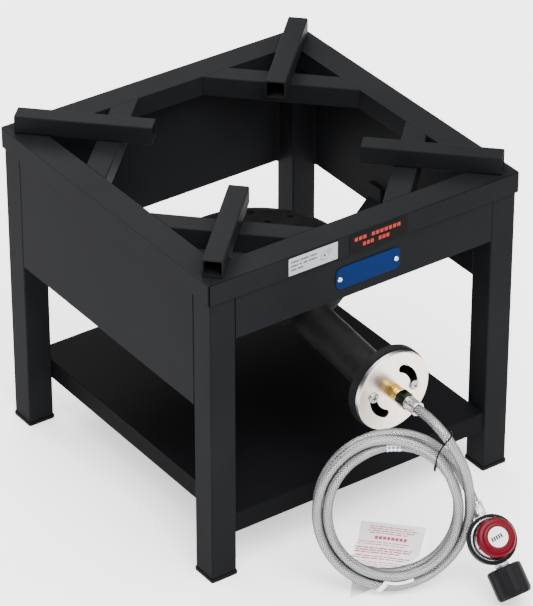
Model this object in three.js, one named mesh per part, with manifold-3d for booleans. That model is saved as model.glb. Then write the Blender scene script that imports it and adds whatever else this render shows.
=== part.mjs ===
// Propane burner stand: welded square-tube stand, cast burner, braided hose and adjustable regulator.
// Millimetres, +Z up, front of the stand towards -Y.
import * as THREE from 'three';
import { mergeVertices } from 'three/addons/utils/BufferGeometryUtils.js';
import Module from 'manifold-3d';

const wasm = await Module();
wasm.setup();

// ---- driving dimensions -------------------------------------------------
const FRAME_SIZE = 445;
const FRAME_TOP_Z = 415;
const RAIL_WIDTH = 37;
const RAIL_HEIGHT = 26.4;
const FRAME_CORNER_R = 4;
const TUBE_WALL = 2;
const BRACE_INNER = 232.1;
const BRACE_OUTER = 274;
const SUPPORT_WIDTH = 25;
const SUPPORT_HEIGHT = 23.1;
const SUPPORT_START = 125.6;
const SUPPORT_END = 294;
const LEG_SIZE = 35;
const LEG_INSET = 3;
const CAP_SIZE = 37.6;
const CAP_HEIGHT = 5;
const PLUG_HEIGHT = 14;
const SHEET = 2;
const FRONT_PANEL_BOTTOM = 331.5;
const PANEL_BOTTOM = 235;
const SHELF_TOP_Z = 85.5;
const SHELF_DEPTH_HALF = 217.5;
const SHELF_FLANGE = 27;
const GAP = 0.3;

const BURNER_Z = 220;
const SHUTTER_FRONT_Y = -277;
const SHUTTER_R = 51;
const SHUTTER_THICK = 2;
const SHUTTER_SKIRT = 7;
const SLOT_R = 29.5;
const SLOT_HALF = 5.3;
const SLOT_START_DEG = -4;
const SLOT_END_DEG = 66;
const FITTING_SHANK_R = 8;
const RUNNING_GAP = 0.09;
const FITTING_LENGTH = 14;
const NUT_LENGTH = 13.7;
const FERRULE_LENGTH = 18.7;
const BOWL_R = 115;
const BOWL_BOTTOM_Z = 216.3;
const BOWL_TOP_Z = 262;
const TUBE_R = 24;
const BELL_R = 52.8;
const CROSSBAR_Y = 50;
const CROSSBAR_TOP_Z = 216;

const HOSE_D = 12;
const COIL_CENTRE = [-48, -342.5, 107];
const COIL_AZ_DEG = 35;
const COIL_LEAN_DEG = 8;
const COIL_INNER_R = 70;
const COIL_OUTER_R = 95;
const COIL_HALF_THICK = 12;
const COIL_RISE = 1.1;

const REG_CENTRE = [41.8, -416.9, 71.8];
const REG_AXIS = [-0.231, -0.713, 0.662];
const REG_INLET = [0.0108, -0.6822, -0.731];
const CLAMP_R = 30;
const HAND_NUT_R = 21.6;
const PORT_Z = -4.5;

const FITTING_FRONT_Y = SHUTTER_FRONT_Y - GAP - FITTING_LENGTH;
const ORIGIN_SHIFT_Y = -(FITTING_FRONT_Y + FRAME_SIZE / 2) / 2;

// ---- helpers -------------------------------------------------------------
const rad = THREE.MathUtils.degToRad;

function toManifold(geometry) {
  const bare = new THREE.BufferGeometry();
  bare.setAttribute('position', geometry.getAttribute('position').clone());
  if (geometry.index) {
    bare.setIndex(geometry.index.clone());
  }
  const merged = mergeVertices(bare, 1e-3);
  const triangles = [];
  const index = merged.index.array;
  for (let i = 0; i < index.length; i += 3) {
    const [a, b, c] = [index[i], index[i + 1], index[i + 2]];
    if (a !== b && b !== c && a !== c) {
      triangles.push(a, b, c);
    }
  }
  const vertProperties = Float32Array.from(merged.getAttribute('position').array);
  const build = (order) => new wasm.Manifold(new wasm.Mesh({
    numProp: 3,
    vertProperties,
    triVerts: Uint32Array.from(order),
  }));
  const solid = build(triangles);
  return solid.volume() < 0 ? build(triangles.reverse()) : solid;
}

function toGeometry(solid) {
  const mesh = solid.getMesh();
  const positions = new Float32Array(mesh.numVert * 3);
  for (let i = 0; i < mesh.numVert; i += 1) {
    for (let k = 0; k < 3; k += 1) {
      positions[i * 3 + k] = mesh.vertProperties[i * mesh.numProp + k];
    }
  }
  const geometry = new THREE.BufferGeometry();
  geometry.setAttribute('position', new THREE.BufferAttribute(positions, 3));
  geometry.setIndex(new THREE.BufferAttribute(Uint32Array.from(mesh.triVerts), 1));
  return geometry;
}

function box(x0, x1, y0, y1, z0, z1) {
  const geometry = new THREE.BoxGeometry(x1 - x0, y1 - y0, z1 - z0);
  geometry.translate((x0 + x1) / 2, (y0 + y1) / 2, (z0 + z1) / 2);
  return toManifold(geometry);
}

function prism(points, z0, z1) {
  const shape = new THREE.Shape(points.map(([x, y]) => new THREE.Vector2(x, y)));
  const depth = z1 - z0;
  const geometry = new THREE.ExtrudeGeometry(shape, { depth, bevelEnabled: false, curveSegments: 6 });
  geometry.translate(0, 0, z0);
  return toManifold(geometry);
}

function roundedRect(halfX, halfY, r, segments = 4) {
  const points = [];
  for (let corner = 0; corner < 4; corner += 1) {
    const sx = corner === 0 || corner === 3 ? 1 : -1;
    const sy = corner < 2 ? 1 : -1;
    for (let i = 0; i <= segments; i += 1) {
      const a = rad(corner * 90 + (90 * i) / segments);
      points.push([sx * (halfX - r) + r * Math.cos(a), sy * (halfY - r) + r * Math.sin(a)]);
    }
  }
  return points;
}

// Lathe about local +Z: the closed profile is a list of [radius, z].
function turned(profile, segments = 40) {
  const points = profile.map(([r, z]) => new THREE.Vector2(r, z));
  points.push(points[0].clone());
  const geometry = new THREE.LatheGeometry(points, segments);
  geometry.rotateX(Math.PI / 2);
  return toManifold(geometry);
}

function rod(r, z0, z1, segments = 32) {
  return turned([[0, z0], [r, z0], [r, z1], [0, z1]], segments);
}

function hexBar(acrossFlats, z0, z1) {
  const r = acrossFlats / Math.sqrt(3);
  const points = [];
  for (let i = 0; i < 6; i += 1) {
    points.push([r * Math.cos(rad(60 * i)), r * Math.sin(rad(60 * i))]);
  }
  return prism(points, z0, z1);
}

// Places a solid made along local +Z so that local z runs towards -Y from the burner axis.
function alongBurner(solid, y = 0) {
  return solid.rotate([90, 0, 0]).translate([0, y, BURNER_Z]);
}

function sweep(points, r, steps, sides = 10) {
  const curve = new THREE.CatmullRomCurve3(points.map((p) => new THREE.Vector3(...p)));
  const circle = [];
  for (let i = 0; i < sides; i += 1) {
    const a = rad((360 * i) / sides);
    circle.push(new THREE.Vector2(r * Math.cos(a), r * Math.sin(a)));
  }
  const geometry = new THREE.ExtrudeGeometry(new THREE.Shape(circle), {
    steps,
    extrudePath: curve,
    bevelEnabled: false,
  });
  return toManifold(geometry);
}

const group = new THREE.Group();
group.name = 'propane_burner_stand';

const COLOURS = {
  powder_black: [0x1b1c1e, 0.45, 0.4],
  cast_black: [0x17181a, 0.6, 0.5],
  rubber_black: [0x141415, 0.8, 0],
  nickel: [0xb9b2a6, 0.3, 0.9],
  brass: [0xb8923e, 0.3, 0.9],
  steel: [0xa9abad, 0.35, 0.9],
  braid: [0x9b9da0, 0.45, 0.8],
  red_plastic: [0x9e1015, 0.25, 0],
  black_plastic: [0x161617, 0.5, 0],
  white_label: [0xe9e9e6, 0.6, 0],
  black_label: [0x1a1616, 0.5, 0],
  blue_plate: [0x173f8f, 0.35, 0.2],
};

function addPiece(name, solid, slot) {
  const [color, roughness, metalness] = COLOURS[slot];
  const material = new THREE.MeshStandardMaterial({ color, roughness, metalness });
  material.name = slot;
  const mesh = new THREE.Mesh(toGeometry(solid.translate([0, ORIGIN_SHIFT_Y, 0])), material);
  mesh.name = name;
  group.add(mesh);
}

// ---- top frame -------------------------------------------------------------
const half = FRAME_SIZE / 2;
const railInner = half - RAIL_WIDTH;
const railBottom = FRAME_TOP_Z - RAIL_HEIGHT;

const frameOutline = prism(roundedRect(half, half, FRAME_CORNER_R), railBottom, FRAME_TOP_Z);
const railTube = box(-half, half, -half, -railInner, railBottom, FRAME_TOP_Z)
  .subtract(box(
    -half - 1, half + 1, -half + TUBE_WALL, -railInner - TUBE_WALL,
    railBottom + TUBE_WALL, FRAME_TOP_Z - TUBE_WALL,
  ))
  .intersect(prism([
    [-half - 5 + GAP, -half - 5], [half + 5 - GAP, -half - 5],
    [railInner - GAP, -railInner], [-railInner + GAP, -railInner],
  ], railBottom - 1, FRAME_TOP_Z + 1))
  .intersect(frameOutline);
const SIDES = ['front', 'right', 'back', 'left'];
SIDES.forEach((side, i) => {
  addPiece(`top_rail_${side}`, railTube.rotate([0, 0, 90 * i]), 'powder_black');
});

const braceMid = (BRACE_INNER + BRACE_OUTER) / 2 / Math.SQRT2;
const braceHalf = (BRACE_OUTER - BRACE_INNER) / 2 / Math.SQRT2;
const brace = box(braceMid - braceHalf, braceMid + braceHalf, -150, 150, railBottom, FRAME_TOP_Z)
  .subtract(box(
    braceMid - braceHalf + TUBE_WALL, braceMid + braceHalf - TUBE_WALL, -151, 151,
    railBottom + TUBE_WALL, FRAME_TOP_Z - TUBE_WALL,
  ))
  .rotate([0, 0, -45])
  .intersect(box(-railInner + GAP, railInner - GAP, -railInner + GAP, railInner - GAP, 300, 500));
const potSupport = box(
  SUPPORT_START, SUPPORT_END, -SUPPORT_WIDTH / 2, SUPPORT_WIDTH / 2,
  FRAME_TOP_Z + GAP, FRAME_TOP_Z + GAP + SUPPORT_HEIGHT,
)
  .subtract(box(
    SUPPORT_START - 1, SUPPORT_END + 1, -SUPPORT_WIDTH / 2 + TUBE_WALL, SUPPORT_WIDTH / 2 - TUBE_WALL,
    FRAME_TOP_Z + GAP + TUBE_WALL, FRAME_TOP_Z + GAP + SUPPORT_HEIGHT - TUBE_WALL,
  ))
  .rotate([0, 0, -45]);
const CORNERS = ['front_right', 'back_right', 'back_left', 'front_left'];
CORNERS.forEach((corner, i) => {
  addPiece(`corner_brace_${corner}`, brace.rotate([0, 0, 90 * i]), 'powder_black');
  addPiece(`pot_support_${corner}`, potSupport.rotate([0, 0, 90 * i]), 'powder_black');
});

// ---- legs, foot caps, panels, shelf ---------------------------------------
const legCentre = half - LEG_INSET - LEG_SIZE / 2;
const legTop = railBottom - GAP;
const leg = prism(roundedRect(LEG_SIZE / 2, LEG_SIZE / 2, 2, 2), CAP_HEIGHT + GAP, legTop)
  .subtract(box(
    -LEG_SIZE / 2 + TUBE_WALL, LEG_SIZE / 2 - TUBE_WALL, -LEG_SIZE / 2 + TUBE_WALL, LEG_SIZE / 2 - TUBE_WALL,
    0, legTop + 1,
  ));
const plugHalf = LEG_SIZE / 2 - TUBE_WALL - GAP;
const footCap = prism(roundedRect(CAP_SIZE / 2, CAP_SIZE / 2, 3, 3), 0, CAP_HEIGHT)
  .add(box(-plugHalf, plugHalf, -plugHalf, plugHalf, CAP_HEIGHT - 1, CAP_HEIGHT + PLUG_HEIGHT));
CORNERS.forEach((corner, i) => {
  const sx = corner.endsWith('right') ? 1 : -1;
  const sy = corner.startsWith('back') ? 1 : -1;
  const place = [sx * legCentre, sy * legCentre, 0];
  addPiece(`leg_${CORNERS[i]}`, leg.translate(place), 'powder_black');
  addPiece(`foot_cap_${CORNERS[i]}`, footCap.translate(place), 'rubber_black');
});

const panelOuter = half - LEG_INSET;
const panelHalf = legCentre - LEG_SIZE / 2 - GAP;
const RIVETS = [['rivet_left', -39], ['rivet_right', 42]];
const RIVET_Z = 359;
const PLATE_X = [-44, 48];
const PLATE_Z = [345, 374];
const rivetHoles = RIVETS
  .map(([, x]) => rod(1.8, -10, 10, 16).rotate([90, 0, 0]).translate([x, -panelOuter, RIVET_Z]))
  .reduce((a, b) => a.add(b));
const frontPanel = box(-panelHalf, panelHalf, -panelOuter, -panelOuter + SHEET, FRONT_PANEL_BOTTOM, legTop)
  .subtract(rivetHoles);
const sidePanel = box(-panelHalf, panelHalf, -panelOuter, -panelOuter + SHEET, PANEL_BOTTOM, legTop);
addPiece('panel_front', frontPanel, 'powder_black');
addPiece('panel_right', sidePanel.rotate([0, 0, 90]), 'powder_black');
addPiece('panel_back', sidePanel.rotate([0, 0, 180]), 'powder_black');
addPiece('panel_left', sidePanel.rotate([0, 0, 270]), 'powder_black');

const shelf = box(
  -panelHalf, panelHalf, -SHELF_DEPTH_HALF, SHELF_DEPTH_HALF, SHELF_TOP_Z - SHELF_FLANGE, SHELF_TOP_Z,
)
  .subtract(box(
    -panelHalf + SHEET, panelHalf - SHEET, -SHELF_DEPTH_HALF + SHEET, SHELF_DEPTH_HALF - SHEET,
    0, SHELF_TOP_Z - SHEET,
  ));
addPiece('shelf_tray', shelf, 'powder_black');

// ---- trim ------------------------------------------------------------------
const plateY = -panelOuter - GAP;
const plateHalfX = (PLATE_X[1] - PLATE_X[0]) / 2;
const plateHalfZ = (PLATE_Z[1] - PLATE_Z[0]) / 2;
const PLATE_CORNER = 5;
const plate = prism(roundedRect(plateHalfX, plateHalfZ, PLATE_CORNER), 0, 1)
  .rotate([90, 0, 0])
  .translate([(PLATE_X[0] + PLATE_X[1]) / 2, plateY, (PLATE_Z[0] + PLATE_Z[1]) / 2])
  .subtract(rivetHoles);
addPiece('emblem_plate', plate, 'blue_plate');
RIVETS.forEach(([name, x]) => {
  const rivet = turned([
    [0, -3.6], [2.8, -3.6], [2.8, -2.6], [1.5, -2.6], [1.5, 1.6], [3.4, 1.6], [2.9, 2.6], [1.6, 3.3],
    [0, 3.5],
  ], 20);
  addPiece(name, rivet.rotate([90, 0, 0]).translate([x, -panelOuter, RIVET_Z]), 'steel');
});
addPiece('sticker_white', box(-113, -44, -half - 0.6, -half - GAP, 390.5, 413.5), 'white_label');
addPiece('sticker_black', box(-27, 56, -half - 0.6, -half - GAP, 390.5, 413.5), 'black_label');

// ---- burner ----------------------------------------------------------------
const barReach = panelOuter - SHEET - GAP;
const TAB_TOP_Z = 268;
const CROSSBAR_HALF = 12.5;
const CROSSBAR_THICK = 4;
const barBottom = CROSSBAR_TOP_Z - CROSSBAR_THICK;
const barInner = barReach - CROSSBAR_THICK;
const BEND_X = 183;
const bendInner = BEND_X - CROSSBAR_THICK * 0.414;
const barHalf = [
  [BEND_X, barBottom], [barReach, barBottom + barReach - BEND_X],
  [barReach, TAB_TOP_Z], [barInner, TAB_TOP_Z],
  [barInner, CROSSBAR_TOP_Z + barInner - bendInner], [bendInner, CROSSBAR_TOP_Z],
];
const barOutline = barHalf.concat(barHalf.map(([x, z]) => [-x, z]).reverse());
const crossbarBlank = prism(barOutline, -CROSSBAR_HALF, CROSSBAR_HALF)
  .rotate([90, 0, 0])
  .subtract(rod(3.3, 200, 230, 12));
addPiece('crossbar_front', crossbarBlank.translate([0, -CROSSBAR_Y, 0]), 'powder_black');
addPiece('crossbar_back', crossbarBlank.translate([0, CROSSBAR_Y, 0]), 'powder_black');

const webFrontY = SHUTTER_FRONT_Y + SHUTTER_THICK + GAP;
const bellY = SHUTTER_FRONT_Y + SHUTTER_SKIRT + GAP;
const TUBE_END_Y = -104;
const TUBE_RISE = 17;
const TUBE_START_Y = -236;

function burnerTube(r, yStart, yEnd) {
  const slope = TUBE_RISE / (TUBE_END_Y - TUBE_START_Y);
  const length = (yEnd - yStart) * Math.hypot(1, slope);
  return rod(r, 0, length, 20)
    .rotate([-90 + (Math.atan(slope) * 180) / Math.PI, 0, 0])
    .translate([0, yStart, BURNER_Z + slope * (yStart - TUBE_START_Y)]);
}

const bowlOuter = turned([
  [0, BOWL_BOTTOM_Z], [84, BOWL_BOTTOM_Z], [108, 226], [115, 238], [BOWL_R, BOWL_TOP_Z], [0, BOWL_TOP_Z],
], 28);
const bowlInner = turned([
  [9, BOWL_BOTTOM_Z + 5], [82, BOWL_BOTTOM_Z + 5], [103, 229], [109, 239], [109, BOWL_TOP_Z + 1],
  [9, BOWL_TOP_Z + 1],
], 28);
const bellOuter = alongBurner(turned([
  [0, 230], [TUBE_R, 230], [TUBE_R + 3, 242], [38, 252], [BELL_R, 259], [BELL_R, -bellY], [0, -bellY],
], 28));
const bellInner = alongBurner(turned([
  [0, 229], [TUBE_R - 4, 229], [TUBE_R - 1, 243], [36, 257], [48, 264], [48, -webFrontY - 4],
  [0, -webFrontY - 4],
], 28));
const webDisc = alongBurner(rod(48.7, -webFrontY - 4.2, -webFrontY, 28));
const bellRim = alongBurner(turned([
  [47, 262], [48.7, 262], [48.7, -webFrontY], [47, -webFrontY],
], 28));

function kidney(r, halfWidth, startDeg, endDeg, z0, z1) {
  const points = [];
  const steps = 6;
  for (let i = 0; i <= steps; i += 1) {
    const a = rad(startDeg + ((endDeg - startDeg) * i) / steps);
    points.push([(r + halfWidth) * Math.cos(a), (r + halfWidth) * Math.sin(a)]);
  }
  for (let i = 1; i < 4; i += 1) {
    const a = rad(endDeg + (180 * i) / 4);
    points.push([
      r * Math.cos(rad(endDeg)) + halfWidth * Math.cos(a),
      r * Math.sin(rad(endDeg)) + halfWidth * Math.sin(a),
    ]);
  }
  for (let i = steps; i >= 0; i -= 1) {
    const a = rad(startDeg + ((endDeg - startDeg) * i) / steps);
    points.push([(r - halfWidth) * Math.cos(a), (r - halfWidth) * Math.sin(a)]);
  }
  for (let i = 1; i < 4; i += 1) {
    const a = rad(startDeg + 180 + (180 * i) / 4);
    points.push([
      r * Math.cos(rad(startDeg)) + halfWidth * Math.cos(a),
      r * Math.sin(rad(startDeg)) + halfWidth * Math.sin(a),
    ]);
  }
  return prism(points, z0, z1);
}

const screwHole = rod(2.8, 255, 290, 10).translate([
  SLOT_R * Math.cos(rad(SLOT_START_DEG)), SLOT_R * Math.sin(rad(SLOT_START_DEG)), 0,
]);
const webWindow = kidney(SLOT_R, SLOT_HALF + 1, 14, SLOT_END_DEG, 255, 290);
const webCuts = [webWindow, webWindow.rotate([0, 0, 180]), screwHole, screwHole.rotate([0, 0, 180])]
  .map((cut) => alongBurner(cut))
  .reduce((a, b) => a.add(b))
  .add(alongBurner(rod(FITTING_SHANK_R + GAP, 240, 290, 16)));
const hubBoss = alongBurner(rod(13, 262, -webFrontY, 16));
const boltBoss = rod(8, BOWL_BOTTOM_Z, BOWL_BOTTOM_Z + 12, 12);
const burnerBody = bowlOuter
  .add(burnerTube(TUBE_R, TUBE_START_Y, TUBE_END_Y))
  .add(bellOuter)
  .subtract(bowlInner)
  .subtract(burnerTube(TUBE_R - 4, TUBE_START_Y - 2, -80))
  .subtract(bellInner)
  .add(boltBoss.translate([0, CROSSBAR_Y, 0]))
  .add(boltBoss.translate([0, -CROSSBAR_Y, 0]))
  .add(webDisc)
  .add(bellRim)
  .add(hubBoss)
  .subtract(webCuts)
  .subtract(rod(3.3, 200, 300, 12))
  .subtract(rod(3.3, 200, BOWL_BOTTOM_Z + 10, 12).translate([0, CROSSBAR_Y, 0]))
  .subtract(rod(3.3, 200, BOWL_BOTTOM_Z + 10, 12).translate([0, -CROSSBAR_Y, 0]));
addPiece('burner_body', burnerBody, 'cast_black');

const capBase = turned([
  [0, BOWL_TOP_Z + GAP], [BOWL_R - 6.5, BOWL_TOP_Z + GAP], [BOWL_R, BOWL_TOP_Z + GAP], [BOWL_R, 266],
  [104, 270], [60, 274], [0, 275],
], 28)
  .subtract(turned([[12, 255], [104, 255], [104, 265], [60, 269], [12, 270]], 28));
const portRings = [[94, 12, 4], [70, 8, 4], [40, 4, 4]];
let cap = capBase;
portRings.forEach(([r, count, portR]) => {
  for (let i = 0; i < count; i += 1) {
    const a = (360 * i) / count;
    cap = cap.subtract(rod(portR, 250, 290, 6).translate([r, 0, 0]).rotate([0, 0, a]));
  }
});
addPiece('burner_cap', cap.subtract(rod(3.3, 200, 300, 12)), 'cast_black');

addPiece('burner_centre_bolt', turned([
  [0, 212], [5.5, 212], [5.5, BOWL_BOTTOM_Z - GAP], [3, BOWL_BOTTOM_Z - GAP], [3, 275.3], [6, 275.3],
  [6, 279], [0, 280],
], 20), 'steel');
[['front', -CROSSBAR_Y], ['back', CROSSBAR_Y]].forEach(([end, y]) => {
  const bolt = turned([
    [0, 208.2], [5.5, 208.2], [5.5, 211.7], [3, 211.7], [3, BOWL_BOTTOM_Z + 9], [0, BOWL_BOTTOM_Z + 9],
  ], 20);
  addPiece(`crossbar_bolt_${end}`, bolt.translate([0, y, 0]), 'steel');
});

// ---- air shutter, screws, orifice fitting ----------------------------------
const shutterBack = -SHUTTER_FRONT_Y - SHUTTER_THICK;
const slot = kidney(SLOT_R, SLOT_HALF, SLOT_START_DEG, SLOT_END_DEG, shutterBack - 1, -SHUTTER_FRONT_Y + 1);
const shutter = turned([
  [FITTING_SHANK_R + RUNNING_GAP, shutterBack], [49.2, shutterBack], [49.2, -SHUTTER_FRONT_Y - SHUTTER_SKIRT],
  [SHUTTER_R, -SHUTTER_FRONT_Y - SHUTTER_SKIRT], [SHUTTER_R, -SHUTTER_FRONT_Y - 1],
  [SHUTTER_R - 1, -SHUTTER_FRONT_Y], [FITTING_SHANK_R + RUNNING_GAP, -SHUTTER_FRONT_Y],
], 32)
  .subtract(slot)
  .subtract(slot.rotate([0, 0, 180]));
addPiece('air_shutter', alongBurner(shutter), 'nickel');

const screwCross = box(-3.4, 3.4, -0.6, 0.6, 278.8, 282).add(box(-0.6, 0.6, -3.4, 3.4, 278.8, 282));
const shutterScrew = turned([
  [0, 262], [2.5, 262], [2.5, 277.3], [6.5, 277.3], [6.5, 278.4], [5.4, 279.7], [0, 280.2],
], 24)
  .subtract(screwCross)
  .translate([SLOT_R * Math.cos(rad(SLOT_START_DEG)), SLOT_R * Math.sin(rad(SLOT_START_DEG)), 0]);
addPiece('shutter_screw_right', alongBurner(shutterScrew), 'steel');
addPiece('shutter_screw_left', alongBurner(shutterScrew.rotate([0, 0, 180])), 'steel');

const fittingBack = -SHUTTER_FRONT_Y + GAP;
const fittingFront = -FITTING_FRONT_Y;
const fitting = hexBar(19, fittingBack, fittingBack + 6)
  .add(turned([
    [0, 256], [FITTING_SHANK_R, 256], [FITTING_SHANK_R, fittingBack + 6], [9.4, fittingBack + 6.5],
    [9.4, fittingBack + 8.5], [8, fittingBack + 9.3], [9.4, fittingBack + 10.2], [9.4, fittingBack + 12],
    [8, fittingFront], [0, fittingFront],
  ], 24))
  .subtract(rod(2, 240, 300, 8));
addPiece('orifice_fitting', alongBurner(fitting), 'brass');

// ---- burner end of the hose --------------------------------------------------
const nutBack = fittingFront + GAP;
const nutFront = nutBack + NUT_LENGTH;
const NIPPLE_R = 6.5;
const hoseNut = hexBar(18.5, nutBack, nutFront)
  .intersect(turned([
    [0, nutBack], [10.2, nutBack], [10.6, nutBack + 1], [10.6, nutFront - 2], [9, nutFront], [0, nutFront],
  ], 24))
  .subtract(rod(NIPPLE_R + RUNNING_GAP, 200, 400, 24));
addPiece('hose_nut', alongBurner(hoseNut), 'rubber_black');
const ferruleBack = nutFront + GAP;
const ferruleFront = ferruleBack + FERRULE_LENGTH;

function ferruleProfile(z0, z1, nippleBack) {
  return [
    [2.5, nippleBack], [NIPPLE_R, nippleBack], [NIPPLE_R, z0], [8.6, z0], [8.6, z0 + 4], [7.6, z0 + 5],
    [8.6, z0 + 6], [8.6, z0 + 9], [7.6, z0 + 10], [8.6, z0 + 11], [8.6, z1 - 1], [8, z1], [2.5, z1],
  ];
}
const burnerFerrule = turned(ferruleProfile(ferruleBack, ferruleFront, nutBack + 1), 24);
addPiece('burner_ferrule', alongBurner(burnerFerrule), 'steel');

// ---- hose --------------------------------------------------------------------
const az = rad(COIL_AZ_DEG);
const lean = rad(COIL_LEAN_DEG);
const ringR = new THREE.Vector3(Math.cos(az), -Math.sin(az), 0);
const ringU = new THREE.Vector3(Math.sin(az) * Math.sin(lean), Math.cos(az) * Math.sin(lean), Math.cos(lean));
const ringN = new THREE.Vector3().crossVectors(ringR, ringU);
const ringMatrix = new THREE.Matrix4().makeBasis(ringR, ringU, ringN).setPosition(...COIL_CENTRE);

function placeSolid(solid, matrix) {
  return solid.transform(matrix.elements.slice());
}

function coilSolid(grow) {
  const [r0, r1, h] = [COIL_INNER_R - grow, COIL_OUTER_R + grow, COIL_HALF_THICK + grow];
  const c = 5;
  const ring = turned([
    [r0, -h + c], [r0 + c, -h], [r1 - c, -h], [r1, -h + c],
    [r1, h - c], [r1 - c, h], [r0 + c, h], [r0, h - c],
  ], 36);
  return placeSolid(ring.scale([1, COIL_RISE, 1]), ringMatrix);
}

const HOSE_START = [0, -ferruleFront - GAP, BURNER_Z];
const DROP_ROUTE = [
  HOSE_START, [0, -338, 220], [0.5, -350, 218.4], [2, -362, 213.5], [5, -372.5, 205.5],
  [9, -380.5, 194.5], [14, -385.5, 181], [19, -388, 167], [23, -389.5, 152.5], [25, -391, 138],
  [26, -392.5, 123],
];
const LEAD_BESIDE_COIL = [
  [64, 63.5, -13.4], [70.3, 53.4, -18.2], [75.8, 43, -22.8], [80.6, 32.5, -26.2], [84.9, 21.8, -27.6],
];
const leadRoute = LEAD_BESIDE_COIL.map((p) => new THREE.Vector3(...p).applyMatrix4(ringMatrix).toArray());
const inlet = new THREE.Vector3(...REG_INLET).normalize();
const regAxis = new THREE.Vector3(...REG_AXIS).normalize();
const regSide = new THREE.Vector3().crossVectors(regAxis, inlet).normalize();
const regMatrix = new THREE.Matrix4().makeBasis(inlet, regSide, regAxis).setPosition(...REG_CENTRE);
[60, 48.3].forEach((d) => leadRoute.push(new THREE.Vector3(-d, 0, PORT_Z).applyMatrix4(regMatrix).toArray()));

const coilClear = coilSolid(GAP);
const regulatorRoom = placeSolid(turned([
  [0, -14], [25, -14], [28, -6], [CLAMP_R + 0.5, -5.8], [CLAMP_R + 0.5, 32], [0, 32],
], 36), regMatrix);
addPiece('hose_coil', coilSolid(0).subtract(regulatorRoom), 'braid');
const dropTube = sweep(DROP_ROUTE, HOSE_D / 2, 20, 8);
const leadTube = sweep(leadRoute, HOSE_D / 2, 12, 8);
addPiece('hose_drop', dropTube.subtract(coilClear), 'braid');
addPiece('hose_lead', leadTube.subtract(coilClear), 'braid');

// ---- tie, sleeve, tag, strap ---------------------------------------------------
// A flat loop around the coil's section: its window runs [u0, u1] outwards and [n0, n1] along the axis.
function bandAround(angleDeg, width, wall, [u0, u1, n0, n1]) {
  const t = rad(angleDeg);
  const mid = (COIL_INNER_R + COIL_OUTER_R) / 2;
  const centre = new THREE.Vector3(mid * Math.cos(t), mid * COIL_RISE * Math.sin(t), 0)
    .applyMatrix4(ringMatrix);
  const tangent = ringR.clone().multiplyScalar(-mid * Math.sin(t))
    .addScaledVector(ringU, mid * COIL_RISE * Math.cos(t))
    .normalize();
  const outward = new THREE.Vector3().crossVectors(tangent, ringN).normalize();
  const along = new THREE.Vector3().crossVectors(outward, ringN);
  const matrix = new THREE.Matrix4().makeBasis(outward, ringN, along).setPosition(centre);
  const band = box(u0 - wall, u1 + wall, n0 - wall, n1 + wall, -width / 2, width / 2)
    .subtract(box(u0, u1, n0, n1, -width, width));
  return placeSolid(band, matrix);
}

addPiece('coil_tie', bandAround(50, 6, 2, [-14.4, 31, -12.6, 18]), 'rubber_black');
const sleeveLow = COIL_INNER_R * COIL_RISE + 2;
const sleeve = box(-6, 6, sleeveLow, sleeveLow + 12, COIL_HALF_THICK + GAP, COIL_HALF_THICK + 1);
addPiece('sleeve_label', placeSolid(sleeve.rotate([0, 0, -3]), ringMatrix), 'white_label');
const TAG_OUTLINE = [[-1, -219], [-106, -338], [-50, -338], [13, -317], [54.6, -277]];
addPiece('hang_tag', prism(TAG_OUTLINE, 0.1, 0.6), 'white_label');
addPiece('tag_strap', bandAround(-97, 7, 0.6, [-14.2, 14.1, -12.6, 12.6]), 'white_label');

// ---- regulator -------------------------------------------------------------------
// Local frame: z towards the knob, x towards the inlet.
function alongInlet(solid) {
  return solid.rotate([0, 90, 0]);
}

function addReg(name, solid, slot) {
  addPiece(name, placeSolid(solid, regMatrix), slot);
}

const regBody = turned([
  [0, -13], [17, -13], [21.5, -10], [24, -5], [27.3, -4], [27.3, -1], [0, -1],
], 32)
  .add(alongInlet(rod(8, 14, 30, 20)).translate([0, 0, PORT_Z]))
  .add(alongInlet(rod(8, -30, -14, 20)).translate([0, 0, PORT_Z]))
  .subtract(turned([[0, -9], [14, -9], [20, -5], [20, 0], [0, 0]], 24))
  .subtract(alongInlet(rod(3, -40, 40, 12)).translate([0, 0, PORT_Z]))
  .subtract(turned([[27.4, -5.6], [31, -5.6], [31, 6], [27.4, 6]], 32))
  .subtract(box(-40, 40, -40, 40, -1, 40));
addReg('regulator_body', regBody, 'steel');
addReg('diaphragm', rod(26.5, -0.7, -0.1, 24), 'rubber_black');
addReg('bonnet', turned([
  [20, 0.2], [27.4, 0.2], [27.4, 2.5], [24.5, 3.5], [22, 9], [17, 13], [10, 14], [10, 16], [5, 16], [5, 11],
  [15, 10.5], [19, 7.5], [20, 4],
], 24), 'steel');
addReg('clamp_ring', turned([
  [27.8, -4.4], [28.6, -5.2], [CLAMP_R - 0.1, -4.4], [CLAMP_R, 4], [29, 4.8], [26.6, 4.8], [26.8, 3.9],
  [27.8, 2.9],
], 32), 'rubber_black');
const springRoute = [];
for (let i = 0; i <= 40; i += 1) {
  const a = rad((1080 * i) / 40);
  springRoute.push([11 * Math.cos(a), 11 * Math.sin(a), 1.2 + (7.6 * i) / 40]);
}
addReg('regulator_spring', sweep(springRoute, 0.8, 36, 5), 'steel');

const KNOB_R = 23.6;
let knob = turned([
  [0, 1.6], [4.9, 1.6], [4.9, 17], [9, 20.5], [20, 20.5], [21.5, 18.5], [21.5, 16.3], [KNOB_R, 16.3],
  [KNOB_R, 20],
  [21.6, 22.6], [17.8, 23.4], [17.4, 26], [15.5, 26.6], [12.8, 26.6], [12.8, 25.8], [0, 25.8],
], 24);
const tab = prism([[22, -2.2], [25.2, -0.6], [25.2, 0.6], [22, 2.2]], 16.3, 20.2);
for (let i = 0; i < 9; i += 1) {
  knob = knob.add(tab.rotate([0, 0, 40 * i]));
}
addReg('adjusting_knob', knob, 'red_plastic');
addReg('knob_label', rod(12.2, 26.1, 26.5, 24), 'white_label');

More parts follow.
